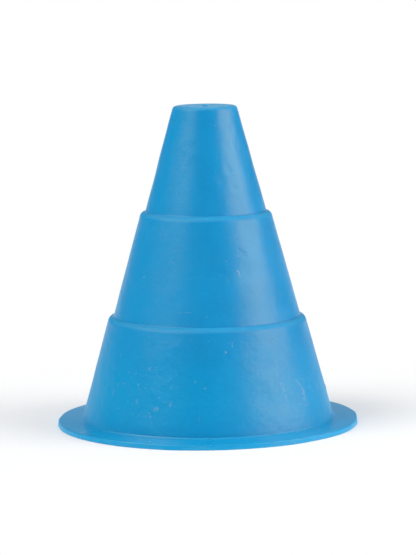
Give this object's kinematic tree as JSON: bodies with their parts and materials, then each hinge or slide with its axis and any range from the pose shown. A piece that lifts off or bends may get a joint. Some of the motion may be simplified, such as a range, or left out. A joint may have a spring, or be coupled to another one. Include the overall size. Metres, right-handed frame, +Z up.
{
  "type": "training cone",
  "caption": "Small soft plastic marker cone for sports drills: a hollow stepped shell with a flat top, rounded shoulders and a round flange that it stands on; cones nest in a stack.",
  "frame": {"origin": "centre of the flange's underside, the flat face that the cone stands on", "axes": "+Z up along the cone's axis towards its closed top; the cone is round, so X and Y only follow the picture, with -Y towards the camera"},
  "size_m": [0.0756, 0.0756, 0.0801],
  "materials": {
    "blue_plastic": "satin"
  },
  "bodies": {
    "root": {"cone_body": "blue_plastic"}
  },
  "joints": []
}
